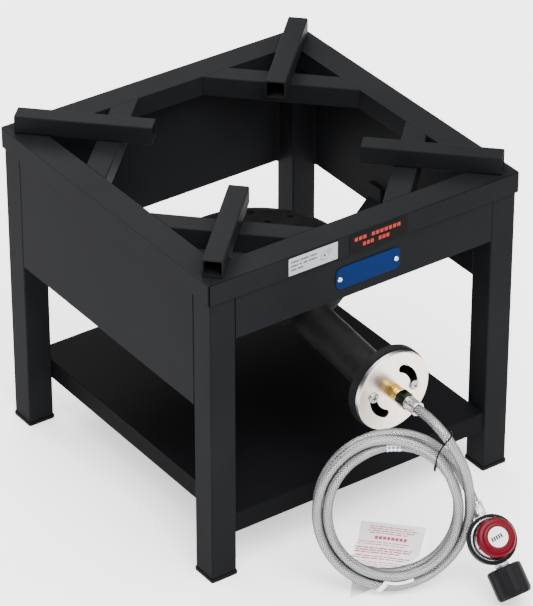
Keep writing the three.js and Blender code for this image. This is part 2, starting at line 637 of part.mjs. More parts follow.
const portZ = [0, 0, PORT_Z];
addReg('inlet_stem', alongInlet(turned([
  [2.5, 30.3], [9, 30.3], [9, 33], [8, 33.3], [8, 50], [5, 54], [5, 60], [2.5, 60],
], 24)).translate(portZ), 'brass');
let handNut = turned([
  [8 + RUNNING_GAP, 34], [16, 34], [20, 35.4], [HAND_NUT_R - 1, 36.6], [HAND_NUT_R - 1, 69.6], [19.6, 71.4],
  [18.6, 72], [13, 72], [13, 39], [8 + RUNNING_GAP, 39],
], 24);
const lobe = prism([[20, -4.6], [HAND_NUT_R, -4], [HAND_NUT_R, 4], [20, 4.6]], 37, 69);
for (let i = 0; i < 8; i += 1) {
  handNut = handNut.add(lobe.rotate([0, 0, 45 * i]));
}
addReg('acme_nut', alongInlet(handNut).translate(portZ), 'black_plastic');
const outletFerrule = turned([
  [2.5, 30.3], [8.6, 30.3], [8.6, 34], [7.6, 35], [8.6, 36], [8.6, 39], [7.6, 40], [8.6, 41], [8.6, 47],
  [8, 48],
  [2.5, 48],
], 24);
addReg('outlet_ferrule', outletFerrule.rotate([0, -90, 0]).translate(portZ), 'steel');

export default group;
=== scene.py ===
"""Propane burner stand: the surfaces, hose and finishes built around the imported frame."""
import math

import bmesh
import bpy
import numpy as np
from mathutils import Matrix, Vector


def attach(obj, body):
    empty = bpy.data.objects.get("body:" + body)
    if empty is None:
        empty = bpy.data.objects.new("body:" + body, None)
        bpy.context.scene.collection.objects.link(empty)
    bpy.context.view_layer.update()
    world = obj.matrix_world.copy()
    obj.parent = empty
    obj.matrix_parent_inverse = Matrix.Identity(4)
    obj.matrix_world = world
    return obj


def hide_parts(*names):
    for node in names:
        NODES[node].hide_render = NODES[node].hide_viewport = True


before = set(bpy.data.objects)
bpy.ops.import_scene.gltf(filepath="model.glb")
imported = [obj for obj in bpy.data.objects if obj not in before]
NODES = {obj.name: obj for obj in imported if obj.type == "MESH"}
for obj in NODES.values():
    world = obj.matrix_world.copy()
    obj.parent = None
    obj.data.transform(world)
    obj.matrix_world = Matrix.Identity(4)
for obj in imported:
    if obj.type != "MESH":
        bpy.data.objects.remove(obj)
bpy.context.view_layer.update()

# ---- sizes, in millimetres, as in the part --------------------------
SHIFT_Y = 34.4
FRONT_Y = -222.5
PANEL_Y = -219.5
BURNER_Z = 220.0
SLOT_R = 29.5
SLOT_HALF = 5.3
SLOT_START = -4.0
SLOT_END = 66.0
FERRULE_Y = -324.3
HOSE_D = 12.0
COIL_CENTRE = (-48.0, -342.5, 107.0)
COIL_AZ = math.radians(35)
COIL_LEAN = math.radians(8)
COIL_RISE = 1.1
REG_CENTRE = (41.8, -416.9, 71.8)
REG_AXIS = Vector((-0.231, -0.713, 0.662)).normalized()
REG_INLET = Vector((0.0108, -0.6822, -0.731)).normalized()
PORT_Z = -4.5
BURNER_TUBE_R = 24.0
MM = 0.001


def point(x, y, z):
    """A point of the part, in millimetres, as metres in the row frame."""
    return Vector((x * MM, (y + SHIFT_Y) * MM, z * MM))


def basis(x, y, z, origin):
    """A matrix from local millimetres to row metres, with the local axes x, y, z."""
    m = Matrix.Identity(4)
    for column, axis in enumerate((x, y, z)):
        for row in range(3):
            m[row][column] = axis[row] * MM
    for row in range(3):
        m[row][3] = origin[row]
    return m


def upright(x, y):
    """Local z up, from the floor at x, y."""
    return basis((1, 0, 0), (0, 1, 0), (0, 0, 1), point(x, y, 0))


def outward(x, y, z):
    """Local x to the right, local y up and local z out of the front, from x, y, z."""
    return basis((1, 0, 0), (0, 0, 1), (0, -1, 0), point(x, y, z))


PLAIN = upright(0, 0)
# The mixing tube's mouth faces the front, so its local z runs out of the burner.
MOUTH = outward(0, 0, BURNER_Z)
REG_SIDE = REG_AXIS.cross(REG_INLET).normalized()
REG = basis(REG_INLET, REG_SIDE, REG_AXIS, point(*REG_CENTRE))
PORT_ORIGIN = REG @ Vector((0, 0, PORT_Z))
INLET = basis(REG_SIDE, REG_AXIS, REG_INLET, PORT_ORIGIN)
OUTLET = basis(REG_AXIS, REG_SIDE, -REG_INLET, PORT_ORIGIN)
RING_R = Vector((math.cos(COIL_AZ), -math.sin(COIL_AZ), 0))
RING_U = Vector((
    math.sin(COIL_AZ) * math.sin(COIL_LEAN),
    math.cos(COIL_AZ) * math.sin(COIL_LEAN),
    math.cos(COIL_LEAN),
))
RING_N = RING_R.cross(RING_U)
RING = basis(RING_R, RING_U, RING_N, point(*COIL_CENTRE))

# ---- camera ---------------------------------------------------------
CAMERA_AT = (-2255.1, -3220.8, 2688.9)
CAMERA_RIGHT = (0.8176, -0.5758, 0.0)
CAMERA_UP = (0.3081, 0.4375, 0.8448)
CAMERA_BACK = (-0.4864, -0.6907, 0.5351)
camera_data = bpy.data.cameras.new("camera")
camera_data.sensor_fit = "HORIZONTAL"
camera_data.sensor_width = 36.0
camera_data.lens = 257.34
camera_data.clip_end = 50.0
camera = bpy.data.objects.new("camera", camera_data)
bpy.context.scene.collection.objects.link(camera)
place = basis(CAMERA_RIGHT, CAMERA_UP, CAMERA_BACK, point(*CAMERA_AT))
camera.matrix_world = place @ Matrix.Diagonal((1 / MM, 1 / MM, 1 / MM, 1))
bpy.context.scene.camera = camera


# ---- node materials -------------------------------------------------
class Nodes:
    """Short calls for building one node material."""

    def __init__(self, name):
        self.material = bpy.data.materials.new(name)
        self.material.use_nodes = True
        self.tree = self.material.node_tree
        self.shader = self.tree.nodes["Principled BSDF"]

    def node(self, kind, **values):
        made = self.tree.nodes.new(kind)
        for key, value in values.items():
            setattr(made, key, value)
        return made

    def link(self, a, b):
        self.tree.links.new(a, b)

    def math(self, operation, a, b=None):
        made = self.node("ShaderNodeMath", operation=operation)
        for i, value in enumerate((a, b)):
            if value is None:
                continue
            if isinstance(value, (int, float)):
                made.inputs[i].default_value = value
            else:
                self.link(value, made.inputs[i])
        return made.outputs[0]

    def noise(self, scale, detail=3.0, roughness=0.5):
        made = self.node("ShaderNodeTexNoise")
        made.inputs["Scale"].default_value = scale
        made.inputs["Detail"].default_value = detail
        made.inputs["Roughness"].default_value = roughness
        self.link(self.node("ShaderNodeTexCoord").outputs["Object"], made.inputs["Vector"])
        return made.outputs["Fac"]

    def ramp(self, value, stops):
        made = self.node("ShaderNodeValToRGB")
        while len(made.color_ramp.elements) < len(stops):
            made.color_ramp.elements.new(0.5)
        for element, (position, colour) in zip(made.color_ramp.elements, stops):
            element.position = position
            element.color = (*colour, 1)
        self.link(value, made.inputs["Fac"])
        return made.outputs["Color"]

    def span(self, value, low, high):
        made = self.node("ShaderNodeMapRange")
        made.inputs["To Min"].default_value = low
        made.inputs["To Max"].default_value = high
        self.link(value, made.inputs["Value"])
        return made.outputs["Result"]

    def bump(self, height, strength, distance, normal=None):
        made = self.node("ShaderNodeBump")
        made.inputs["Strength"].default_value = strength
        made.inputs["Distance"].default_value = distance
        self.link(height, made.inputs["Height"])
        if normal is not None:
            self.link(normal, made.inputs["Normal"])
        return made.outputs["Normal"]

    def set(self, **values):
        names = {
            "colour": "Base Color", "rough": "Roughness", "metal": "Metallic", "normal": "Normal",
            "specular": "Specular IOR Level", "tint": "Specular Tint",
            "glow": "Emission Color", "glow_strength": "Emission Strength",
        }
        for key, value in values.items():
            socket = self.shader.inputs[names[key]]
            if isinstance(value, bpy.types.NodeSocket):
                self.link(value, socket)
            elif isinstance(value, tuple):
                socket.default_value = (*value, 1)
            else:
                socket.default_value = value
        return self.material


def powder_coat(name, tone, rough):
    """Matt powder coating with a fine orange peel and faint clouds."""
    n = Nodes(name)
    peel = n.noise(620.0, 2.0, 0.55)
    cloud = n.noise(9.0, 2.0, 0.5)
    colour = n.ramp(cloud, [(0.3, tuple(c * 0.86 for c in tone)), (0.75, tuple(c * 1.14 for c in tone))])
    gloss = n.span(cloud, rough - 0.04, rough + 0.05)
    return n.set(colour=colour, rough=gloss, normal=n.bump(peel, 0.22, 0.0004), specular=0.013)


def cast_iron(name):
    """Black enamel over a sandy casting."""
    n = Nodes(name)
    sand = n.noise(420.0, 4.0, 0.65)
    lumps = n.noise(60.0, 2.0, 0.5)
    colour = n.ramp(lumps, [(0.3, (0.0050, 0.0050, 0.0052)), (0.8, (0.0092, 0.0090, 0.0090))])
    normal = n.bump(sand, 0.45, 0.0006, n.bump(lumps, 0.15, 0.001))
    return n.set(colour=colour, rough=n.span(sand, 0.45, 0.68), normal=normal, specular=0.04)


def brushed(name, tone, rough, turned=True, spread=0.06):
    """Plated or machined metal with fine turning or brushing marks."""
    n = Nodes(name)
    fine = n.noise(900.0, 3.0, 0.6)
    stain = n.noise(35.0, 3.0, 0.55)
    colour = n.ramp(stain, [(0.3, tuple(c * 0.88 for c in tone)), (0.75, tone)])
    normal = n.bump(fine, 0.08 if turned else 0.03, 0.0002)
    return n.set(colour=colour, rough=n.span(stain, rough, rough + spread), metal=1.0, normal=normal)


def plastic(name, tone, rough, gloss, grain=0.0):
    """Moulded plastic, rubber or enamel with faint clouds and, if asked, a fine grain."""
    n = Nodes(name)
    cloud = n.noise(40.0, 2.0, 0.5)
    colour = n.ramp(cloud, [(0.3, tuple(c * 0.93 for c in tone)), (0.75, tone)])
    normal = n.bump(n.noise(1400.0, 2.0, 0.5), grain, 0.0003)
    return n.set(colour=colour, rough=n.span(cloud, rough, rough + 0.05), normal=normal, specular=gloss)


def printed(name, tone, rough=0.45, gloss=0.15):
    """Paper, film or ink with a fine fibre."""
    n = Nodes(name)
    fibre = n.noise(700.0, 3.0, 0.6)
    colour = n.ramp(fibre, [(0.25, tuple(c * 0.95 for c in tone)), (0.7, tone)])
    return n.set(colour=colour, rough=rough, normal=n.bump(fibre, 0.06, 0.0002), specular=gloss)


def braid_material():
    """Woven steel wire: two families of flat bundles that pass over and under each other."""
    n = Nodes("braid")
    uv = n.node("ShaderNodeUVMap", uv_map="braid")
    split = n.node("ShaderNodeSeparateXYZ")
    n.link(uv.outputs["UV"], split.inputs[0])
    around = n.math("MULTIPLY", split.outputs["X"], 12.0)
    along = n.math("MULTIPLY", split.outputs["Y"], 9.0)
    families = [n.math("ADD", around, along), n.math("SUBTRACT", around, along)]
    heights = []
    for value in families:
        part = n.math("FRACT", value)
        centred = n.math("SUBTRACT", n.math("MULTIPLY", part, 2.0), 1.0)
        dome = n.math("SUBTRACT", 1.0, n.math("MULTIPLY", centred, centred))
        wires = n.math("SINE", n.math("MULTIPLY", part, 31.4))
        heights.append(n.math("ADD", dome, n.math("MULTIPLY", wires, 0.16)))
    parity = n.math("ADD", n.math("FLOOR", families[0]), n.math("FLOOR", families[1]))
    over = n.math("MODULO", n.math("ABSOLUTE", parity), 2.0)
    mixed = n.node("ShaderNodeMix", data_type="FLOAT")
    n.link(over, mixed.inputs[0])
    n.link(heights[0], mixed.inputs[2])
    n.link(heights[1], mixed.inputs[3])
    height = mixed.outputs[0]
    stain = n.noise(28.0, 2.0, 0.5)
    # The ramp runs from near black in the gaps between strands to pale on their crowns: painted shade in the
    # weave. The stain noise varies it at random.
    weave_shade = n.math("MULTIPLY", height, n.span(stain, 0.8, 1.0))
    colour = n.ramp(weave_shade, [
        (0.0, (0.008, 0.008, 0.0085)), (0.45, (0.12, 0.121, 0.126)), (0.95, (0.52, 0.52, 0.53)),
    ])
    return n.set(
        colour=colour, metal=0.9, rough=n.span(stain, 0.24, 0.32), normal=n.bump(height, 0.62, 0.0005),
        tint=(0.05, 0.05, 0.055),
    )


def sleeve_material():
    """A pale wrap with a band of dark blue blocks around the hose."""
    n = Nodes("sleeve_print")
    uv = n.node("ShaderNodeUVMap", uv_map="sleeve")
    split = n.node("ShaderNodeSeparateXYZ")
    n.link(uv.outputs["UV"], split.inputs[0])
    along = n.math("MULTIPLY", split.outputs["Y"], 8.5)
    around = n.math("MULTIPLY", split.outputs["X"], 8.0)
    rows = n.math("GREATER_THAN", n.math("FRACT", around), 0.45)
    columns = n.math("GREATER_THAN", n.math("FRACT", along), 0.35)
    block = n.math("MULTIPLY", rows, columns)
    colour = n.ramp(block, [(0.0, (0.74, 0.77, 0.82)), (1.0, (0.05, 0.10, 0.24))])
    return n.set(colour=colour, rough=0.35, normal=n.bump(n.noise(700.0), 0.05, 0.0002))


POWDER = powder_coat("powder_black", (0.0080, 0.0083, 0.0092), 0.44)
# The shelf takes a darker copy of the same powder coat: painted shade under the top.
POWDER_SHADED_SHELF = powder_coat("powder_shelf_painted_shade", (0.0042, 0.0043, 0.0048), 0.52)
CAST = cast_iron("cast_black")
RUBBER = plastic("rubber_black", (0.0055, 0.0055, 0.006), 0.5, 0.03, grain=0.2)
NICKEL = brushed("nickel", (0.80, 0.70, 0.61), 0.27, spread=0.02)
CHROME = brushed("polished_rim", (0.66, 0.65, 0.635), 0.27, turned=False)
BRASS = brushed("brass", (0.60, 0.415, 0.09), 0.20)
NUT_GREEN = brushed("nut_green", (0.032, 0.048, 0.036), 0.14, turned=False)
STEEL = brushed("steel", (0.56, 0.565, 0.58), 0.20, turned=False)
ZINC = brushed("zinc", (0.42, 0.425, 0.44), 0.30)
BRAID = braid_material()
RED = plastic("red_plastic", (0.092, 0.0006, 0.006), 0.26, 0.10)
BLACK_PLASTIC = plastic("black_plastic", (0.0068, 0.0068, 0.0076), 0.36, 0.06, grain=0.2)
WHITE = printed("white_label", (0.28, 0.285, 0.30))
PAPER = printed("leaflet_paper", (0.93, 0.905, 0.915), 0.6)
ROSE_INK = printed("leaflet_ink", (0.50, 0.045, 0.095), 0.6)
# Print ink for the labels; the same dark also lies in the screw recesses as painted shade.
INK_AND_SHADE = printed("label_ink_and_recess_shade", (0.012, 0.013, 0.016))
RED_INK = printed("label_red", (0.25, 0.008, 0.007))
SLEEVE = sleeve_material()
BLACK_LABEL = printed("black_label", (0.0034, 0.0024, 0.0021), 0.42, gloss=0.03)
DIAL_WHITE = printed("dial_white", (0.70, 0.70, 0.70))
BLUE = plastic("blue_plate", (0.0007, 0.010, 0.058), 0.35, 0.025)


# ---- mesh helpers ---------------------------------------------------
def linked(name, mesh):
    made = bpy.data.objects.new(name, mesh)
    bpy.context.scene.collection.objects.link(made)
    return made


def from_faces(name, points, faces, matrix):
    """One object from local points and faces, with doubled points merged and normals turned out."""
    mesh = bpy.data.meshes.new(name)
    mesh.from_pydata([tuple(matrix @ Vector(p)) for p in points], [], faces)
    bm = bmesh.new()
    bm.from_mesh(mesh)
    bmesh.ops.remove_doubles(bm, verts=bm.verts, dist=1e-6)
    bmesh.ops.recalc_face_normals(bm, faces=bm.faces)
    bm.to_mesh(mesh)
    bm.free()
    return linked(name, mesh)


def settle(obj, material, nodes=(), body="stand", angle=38.0, even=True):
    """Material, smooth shading, the nodes it stands for and the body it rides on."""
    mesh = obj.data
    mesh.materials.clear()
    mesh.materials.append(material)
    mesh.shade_smooth()
    mesh.set_sharp_from_angle(angle=math.radians(angle))
    if even:
        weighted = obj.modifiers.new("even_normals", "WEIGHTED_NORMAL")
        weighted.keep_sharp = True
        weighted.weight = 60
    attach(obj, body)
    if nodes:
        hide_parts(*nodes)
    return obj


def boolean(obj, others, operation="DIFFERENCE"):
    """Cuts the others out of the object, or keeps what it shares with them, and removes them."""
    for other in others:
        cut = obj.modifiers.new("cut", "BOOLEAN")
        cut.object = other
        cut.operation = operation
        cut.solver = "EXACT"
    graph = bpy.context.evaluated_depsgraph_get()
    mesh = bpy.data.meshes.new_from_object(obj.evaluated_get(graph))
    obj.modifiers.clear()
    obj.data = mesh
    for other in others:
        bpy.data.objects.remove(other)


def eased(profile, radius, closed):
    """The profile with each corner rounded by a short curve."""
    points = [Vector(p) for p in profile]
    count, steps = len(points), 4
    out = []
    for i, corner in enumerate(points):
        if not closed and i in (0, count - 1):
            out.append(tuple(corner))
            continue
        before = points[i - 1] - corner
        after = points[(i + 1) % count] - corner
        if before.length < 1e-6 or after.length < 1e-6:
            continue
        reach_a = min(radius, before.length * 0.45)
        reach_b = min(radius, after.length * 0.45)
        a = corner + before.normalized() * reach_a
        b = corner + after.normalized() * reach_b
        for k in range(steps + 1):
            t = k / steps
            out.append(tuple(a * (1 - t) ** 2 + corner * 2 * t * (1 - t) + b * t ** 2))
    return out


def lathe(name, profile, matrix, segments, radius, closed=True):
    """A solid of revolution about local z; profile is [radius, z], closed or running axis to axis."""
    line = eased(profile, radius, closed) if radius else profile
    points, rings = [], []
    for r, z in line:
        if r < 1e-6:
            rings.append([len(points)])
            points.append((0, 0, z))
            continue
        ring = []
        for k in range(segments):
            a = 2 * math.pi * k / segments
            ring.append(len(points))
            points.append((r * math.cos(a), r * math.sin(a), z))
        rings.append(ring)
    faces = []
    for low, high in zip(rings, rings[1:] + rings[:1] if closed else rings[1:]):
        for k in range(segments):
            m = (k + 1) % segments
            if len(low) == len(high) == 1:
                break
            if len(low) == 1:
                faces.append((low[0], high[k], high[m]))
            elif len(high) == 1:
                faces.append((low[k], low[m], high[0]))
            else:
                faces.append((low[k], low[m], high[m], high[k]))
    return from_faces(name, points, faces, matrix)


def prisms(name, outlines, z0, z1, matrix):
    """Upright prisms merged into one mesh."""
    points, faces = [], []
    for outline in outlines:
        start, count = len(points), len(outline)
        points += [(x, y, z) for z in (z0, z1) for x, y in outline]
        faces.append(tuple(start + i for i in reversed(range(count))))
        faces.append(tuple(start + count + i for i in range(count)))
        for i in range(count):
            j = (i + 1) % count
            faces.append((start + i, start + j, start + count + j, start + count + i))
    return from_faces(name, points, faces, matrix)


def soften_edges(mesh, width, angle=40.0, segments=2, skip=None):
    """Bevels the folds sharper than angle, except those that skip picks out."""
    bm = bmesh.new()
    bm.from_mesh(mesh)
    edges = [
        e for e in bm.edges
        if len(e.link_faces) == 2 and e.calc_face_angle(0) > math.radians(angle) and not (skip and skip(e))
    ]
    bmesh.ops.bevel(
        bm, geom=edges, offset=width * MM, segments=segments, profile=0.5, affect="EDGES",
        clamp_overlap=True,
    )
    bm.to_mesh(mesh)
    bm.free()


def softened(node, material, wide, cuts=()):
    """A copy of a CAD node with folded edges rounded widely and cut edges narrowly."""
    mesh = NODES[node].data.copy()
    bm = bmesh.new()
    bm.from_mesh(mesh)
    bmesh.ops.remove_doubles(bm, verts=bm.verts, dist=2e-5)
    bmesh.ops.dissolve_limit(bm, angle_limit=math.radians(1), verts=bm.verts, edges=bm.edges)
    bm.normal_update()
    bm.to_mesh(mesh)
    bm.free()
    axes = [Vector(c).normalized() for c in cuts]

    def on_cut(edge):
        return any(abs(f.normal.dot(a)) > 0.98 for f in edge.link_faces for a in axes)

    soften_edges(mesh, wide, segments=3, skip=on_cut)
    if axes:
        soften_edges(mesh, 0.35, angle=50, segments=1)
    settle(linked(node + "_coated", mesh), material, [node], angle=45)


CURVE_STEPS = 12


def smoothed(points):
    """A Catmull-Rom curve through the points, as the part's own routes use."""
    p = [Vector(q) for q in points]
    p = [p[0] * 2 - p[1]] + p + [p[-1] * 2 - p[-2]]
    out = []
    for i in range(1, len(p) - 2):
        t0 = 0.0
        t1 = t0 + math.sqrt((p[i] - p[i - 1]).length)
        t2 = t1 + math.sqrt((p[i + 1] - p[i]).length)
        t3 = t2 + math.sqrt((p[i + 2] - p[i + 1]).length)
        for k in range(CURVE_STEPS):
            t = t1 + (t2 - t1) * k / CURVE_STEPS
            a1 = p[i - 1] * ((t1 - t) / (t1 - t0)) + p[i] * ((t - t0) / (t1 - t0))
            a2 = p[i] * ((t2 - t) / (t2 - t1)) + p[i + 1] * ((t - t1) / (t2 - t1))
            a3 = p[i + 1] * ((t3 - t) / (t3 - t2)) + p[i + 2] * ((t - t2) / (t3 - t2))
            b1 = a1 * ((t2 - t) / (t2 - t0)) + a2 * ((t - t0) / (t2 - t0))
            b2 = a2 * ((t3 - t) / (t3 - t1)) + a3 * ((t - t1) / (t3 - t1))
            out.append(b1 * ((t2 - t) / (t2 - t1)) + b2 * ((t - t1) / (t2 - t1)))
    out.append(p[-2])
    return out


def resampled(points, step):
    """The path in even steps, in metres, and its length."""
    p = np.array([tuple(q) for q in points])
    d = np.concatenate([[0], np.cumsum(np.linalg.norm(np.diff(p, axis=0), axis=1))])
    count = max(2, int(round(d[-1] / step)) + 1)
    s = np.linspace(0, d[-1], count)
    return np.stack([np.interp(s, d, p[:, k]) for k in range(3)], axis=1), d[-1]


def tube_mesh(name, path, radius, sides, uv_name):
    """A tube along the path, with its ends closed; u runs around it and v along it."""
    p = np.array(path)
    tangent = np.gradient(p, axis=0)
    tangent /= np.linalg.norm(tangent, axis=1)[:, None]
    normal = np.cross(tangent[0], (0, 0, 1.0))
    normal /= np.linalg.norm(normal)
    steps = np.concatenate([[0], np.cumsum(np.linalg.norm(np.diff(p, axis=0), axis=1))])
    points = []
    for i in range(len(p)):
        normal = normal - tangent[i] * normal.dot(tangent[i])
        normal /= np.linalg.norm(normal)
        other = np.cross(tangent[i], normal)
        for k in range(sides):
            a = 2 * math.pi * k / sides
            points.append(tuple(p[i] + radius * (math.cos(a) * normal + math.sin(a) * other)))
    faces, coordinates = [], []
    around = 2 * math.pi * radius
    for i in range(len(p) - 1):
        for k in range(sides):
            m = (k + 1) % sides
            faces.append((i * sides + k, i * sides + m, (i + 1) * sides + m, (i + 1) * sides + k))
            v0, v1 = steps[i] / around, steps[i + 1] / around
            coordinates += [(k / sides, v0), ((k + 1) / sides, v0), ((k + 1) / sides, v1), (k / sides, v1)]
    last = (len(p) - 1) * sides
    faces.append(tuple(reversed(range(sides))))
    faces.append(tuple(range(last, last + sides)))
    coordinates += [(0.0, 0.0)] * (2 * sides)
    mesh = bpy.data.meshes.new(name)
    mesh.from_pydata(points, [], faces)
    layer = mesh.uv_layers.new(name=uv_name)
    for loop, uv in zip(layer.data, coordinates):
        loop.uv = uv
    return linked(name, mesh)


# ---- the hose -------------------------------------------------------
DROP_ROUTE = [
    (0, FERRULE_Y, 220), (0, -338, 220), (0.5, -350, 218.4), (2, -362, 213.5), (5, -372.5, 205.5),
    (9, -380.5, 194.5), (14, -385.5, 181), (19, -388, 167), (23, -389.5, 152.5), (25, -391, 138),
    (26, -392.5, 123),
]
# Angle around the coil (degrees, falling), radius and offset along the coil's axis.
COIL_KEYS = [
    (-2, 89.8, -0.8), (-20, 89.2, -2.8), (-42, 88.8, -2.6), (-100, 88.5, 6.0), (-180, 88.5, 6.0),
    (-245, 88.5, 6.0), (-300, 83.0, 6.5), (-340, 77.0, 6.4), (-370, 76.4, 6.0), (-450, 76.4, 6.0),
    (-560, 76.4, 6.0), (-600, 76.4, 5.0), (-630, 76.0, -1.0), (-660, 75.6, -5.5), (-700, 76.4, -6.0),
    (-790, 76.4, -6.0), (-850, 82.0, -6.2), (-900, 88.0, -6.2), (-960, 88.3, -6.0), (-990, 88.2, -7.0),
    (-1020, 87.0, -9.8),
]
LEAD_BESIDE_COIL = [
    (64, 63.5, -13.4), (70.3, 53.4, -18.2), (75.8, 43, -22.8), (80.6, 32.5, -26.2), (84.9, 21.8, -27.6),
]


def coil_points():
    """The coil's centre line, eased between its keys."""
    keys = np.array(COIL_KEYS, dtype=float)
    angles = np.arange(keys[0, 0], keys[-1, 0] - 0.1, -9.0)
    out = []
    for a in angles:
        i = min(max(int(np.searchsorted(-keys[:, 0], -a, side="right")) - 1, 0), len(keys) - 2)
        t = (a - keys[i, 0]) / (keys[i + 1, 0] - keys[i, 0])
        t = t * t * (3 - 2 * t)
        r = keys[i, 1] + (keys[i + 1, 1] - keys[i, 1]) * t
        n = keys[i, 2] + (keys[i + 1, 2] - keys[i, 2]) * t
        c, s = math.cos(math.radians(a)), math.sin(math.radians(a))
        out.append(RING @ Vector((r * c, r * COIL_RISE * s, n)))
    return out


route = [point(*q) for q in DROP_ROUTE] + coil_points() + [RING @ Vector(q) for q in LEAD_BESIDE_COIL]
route += [REG @ Vector((-d, 0, PORT_Z)) for d in (60, 48.3)]
HOSE_STEP, HOSE_SIDES = 0.003, 20
hose_path, hose_length = resampled(smoothed(route), HOSE_STEP)
hose = tube_mesh("braided_hose", hose_path, HOSE_D * MM / 2, HOSE_SIDES, "braid")
settle(hose, BRAID, ["hose_drop", "hose_coil", "hose_lead"], even=False)


# ---- burner end fittings --------------------------------------------
def hex_nut(name, flats, z0, z1, matrix, corner, bore=None):
    """A hexagon with turned-down corners, and a bore if its radius is given."""
    r = flats / math.sqrt(3)
    turns = [math.radians(60 * k) for k in range(6)]
    body = prisms(name, [[(r * math.cos(a), r * math.sin(a)) for a in turns]], z0, z1, matrix)
    limit = lathe(name + "_limit", [
        (0, z0), (r - corner, z0), (r + 0.05, z0 + corner * 0.6), (r + 0.05, z1 - corner * 0.6),
        (r - corner, z1), (0, z1),
    ], matrix, 48, 0, closed=False)
    boolean(body, [limit], "INTERSECT")
    if bore:
        line = [(0, z0 - 5), (bore, z0 - 5), (bore, z1 + 5), (0, z1 + 5)]
        boolean(body, [lathe(name + "_bore", line, matrix, 48, 0, closed=False)])
    soften_edges(body.data, 0.25, angle=35)
    return body


hex_part = hex_nut("orifice_hex", 17, 277.3, 283.3, MOUTH, 1.2)
settle(hex_part, BRASS)
neck = lathe("orifice_fitting_turned", [
    (2, 256), (8, 256), (8, 283.3), (9.4, 283.5), (9.4, 286), (8, 286.8), (9.4, 287.7), (9.4, 289.8),
    (8, 291.2), (2, 291.2),
], MOUTH, 64, 0.35)
settle(neck, BRASS, ["orifice_fitting"])
nut = hex_nut("swivel_nut", 18.5, 291.6, 305.2, MOUTH, 1.3, bore=6.7)
settle(nut, NUT_GREEN, ["hose_nut"], "swivel")


def lobed(name, outer, count, share, depth, matrix, segments=192):
    """A closed lathe whose radius dips by depth between lobes; outer is radius, z, how deep the dip is."""
    points, faces = [], []
    for r, z, flute in outer:
        for k in range(segments):
            a = 2 * math.pi * k / segments
            lobe = min(1.0, max(0.0, (0.5 + 0.5 * math.cos(count * a) - share) * 5.0))
            radius = r - flute * depth * (1 - lobe)
            points.append((radius * math.cos(a), radius * math.sin(a), z))
    rings = len(outer)
    for i in range(rings):
        for k in range(segments):
            m, n = (k + 1) % segments, (i + 1) % rings
            faces.append((i * segments + k, i * segments + m, n * segments + m, n * segments + k))
    return from_faces(name, points, faces, matrix)


def ferrule(name, z0, z1, back, matrix, node):
    """A sleeve pressed on to the hose in flats, with a plain collar and a groove at the nut end."""
    made = lobed(name, [
        (2.5, back, 0), (6.5, back, 0), (6.5, z0, 0), (8.3, z0, 0), (8.6, z0 + 0.4, 0), (8.6, z0 + 1.8, 0),
        (7.4, z0 + 2.3, 0), (7.4, z0 + 3.2, 0), (8.6, z0 + 3.7, 0), (8.6, z0 + 4.6, 0.2), (8.5, z0 + 5.8, 1),
        (8.5, z1 - 4.0, 1), (8.6, z1 - 2.4, 0.3), (8.6, z1 - 0.6, 0), (8.2, z1, 0), (2.5, z1, 0),
    ], 10, 0.35, 0.75, matrix, 160)
    return settle(made, STEEL, [node], angle=32)


burner_ferrule = ferrule("crimped_ferrule_burner", 305.3, 324.0, 292.6, MOUTH, "burner_ferrule")
outlet_ferrule = ferrule("crimped_ferrule_regulator", 30.3, 48.0, 30.3, OUTLET, "outlet_ferrule")


# ---- regulator ------------------------------------------------------
body_shell = lathe("regulator_casting", [
    (0, -13), (16, -13), (21.2, -10.5), (23.8, -5.5), (27.3, -4.2), (27.3, -1), (20, -1), (20, -5), (14, -9),
    (0, -9),
], REG, 96, 0.8, closed=False)
for label, port in (("inlet", INLET), ("outlet", OUTLET)):
    line = [(0, 10), (8, 10), (8, 30), (0, 30)]
    piece = lathe("regulator_boss_" + label, line, port, 48, 0.5, closed=False)
    line = [(24.4, -5.3), (31, -5.3), (31, 9), (0, 9), (0, -1), (24.4, -1)]
    boolean(piece, [lathe("guard_" + label, line, REG, 48, 0, closed=False)])
    settle(piece, ZINC)
settle(body_shell, ZINC, ["regulator_body"])
bonnet = lathe("regulator_bonnet", [
    (20, 0.2), (27.4, 0.2), (27.4, 2.5), (24.5, 3.5), (22, 9), (17, 13), (10, 14), (10, 16), (5, 16), (5, 11),
    (15, 10.5), (19, 7.5), (20, 4),
], REG, 96, 0.8)
settle(bonnet, STEEL, ["bonnet"])
clamp = lathe("clamp_band", [
    (27.8, -4.4), (28.6, -5.2), (29.9, -4.4), (30, 4), (29, 4.8), (26.6, 4.8), (26.8, 3.9), (27.8, 2.9),
], REG, 96, 0.5)
settle(clamp, BLACK_PLASTIC, ["clamp_ring"])

knob = lathe("knob_turned", [
    (0, 1.6), (4.9, 1.6), (4.9, 17), (9, 20.5), (20, 20.5), (21.5, 18.5), (21.5, 16.3), (23.6, 16.3),
    (23.6, 20), (21.6, 22.6), (17.8, 23.4), (17.4, 26), (15.5, 26.6), (12.8, 26.6), (12.8, 25.8), (0, 25.8),
], REG, 96, 0.7, closed=False)
settle(knob, RED, ["adjusting_knob"], "knob")
tab_points, tab_faces = [], []
for k in range(9):
    turn = Matrix.Rotation(math.radians(40 * k), 4, "Z")
    low = [(22.2, -2.6), (25.1, -0.7), (25.1, 0.7), (22.2, 2.6)]
    start = len(tab_points)
    for z, shrink in ((16.4, 1.0), (19.4, 1.0), (20.4, 0.72)):
        for x, y in low:
            tab_points.append(tuple(turn @ Vector((22.2 + (x - 22.2) * shrink, y * shrink, z))))
    for level in (start, start + 4):
        for i in range(4):
            j = (i + 1) % 4
            tab_faces.append((level + i, level + j, level + 4 + j, level + 4 + i))
    tab_faces.append((start, start + 3, start + 2, start + 1))
    tab_faces.append((start + 8, start + 9, start + 10, start + 11))
tabs = from_faces("knob_tabs", tab_points, tab_faces, REG)
soften_edges(tabs.data, 0.3, angle=30)
settle(tabs, RED, body="knob")

